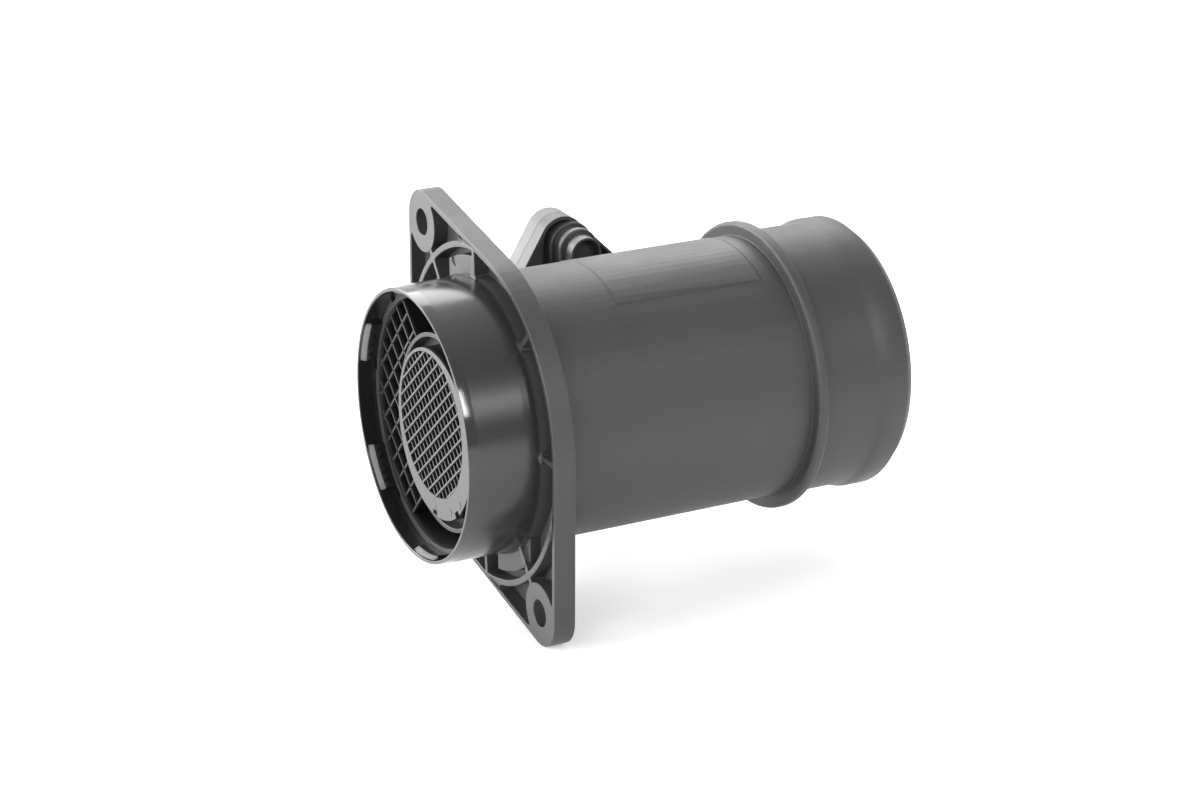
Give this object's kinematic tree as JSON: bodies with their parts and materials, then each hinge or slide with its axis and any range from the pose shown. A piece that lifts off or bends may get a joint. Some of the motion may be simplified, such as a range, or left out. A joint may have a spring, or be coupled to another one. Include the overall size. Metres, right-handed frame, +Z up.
{
  "type": "mass airflow sensor",
  "caption": "Flange-mounted hot-film mass airflow sensor: round plastic duct with mesh inlet, oblong ribbed flange, hose end and side electronics module.",
  "frame": {"origin": "on the duct's axis, in the plane of the flange's front face, which is bolted to the air filter housing", "axes": "+X along the air flow from the mouth to the hose end, +Y towards the electronics module, +Z up"},
  "size_m": [0.1256, 0.0968, 0.0988],
  "materials": {
    "body": "fine-grained dark grey plastic",
    "grid": "black plastic",
    "measuring_tube": "black plastic",
    "mesh": "light grey plastic",
    "retainer": "black plastic",
    "module": "dark grey plastic",
    "cover": "dark grey plastic",
    "seal": "black rubber",
    "socket": "black plastic",
    "pins": "tinned brass",
    "screws": "zinc-plated steel",
    "arm": "black plastic",
    "carrier": "satin steel",
    "chip": "polished silicon",
    "bead": "dark epoxy",
    "heat_plate": "satin",
    "board": "green solder mask",
    "chip_case": "black",
    "capacitors": "ceramic"
  },
  "bodies": {
    "root": {"housing_body": "body", "flow_grid": "grid", "measuring_tube": "measuring_tube", "fine_mesh": "mesh", "mesh_retaining_ring": "retainer", "electronics_housing": "module", "electronics_cover": "cover", "cover_seal": "seal", "module_seal": "seal", "connector_socket": "socket", "terminal_pins": "pins", "connector_leads": "pins", "module_screws": "screws", "sensor_arm": "arm", "arm_cover": "arm", "chip_carrier": "carrier", "hot_film_chip": "chip", "air_temperature_bead": "bead", "temperature_leads": "pins", "heat_plate": "heat_plate", "circuit_board": "board", "control_chip": "chip_case", "board_capacitors": "capacitors", "board_resistors": "chip_case"}
  },
  "joints": []
}
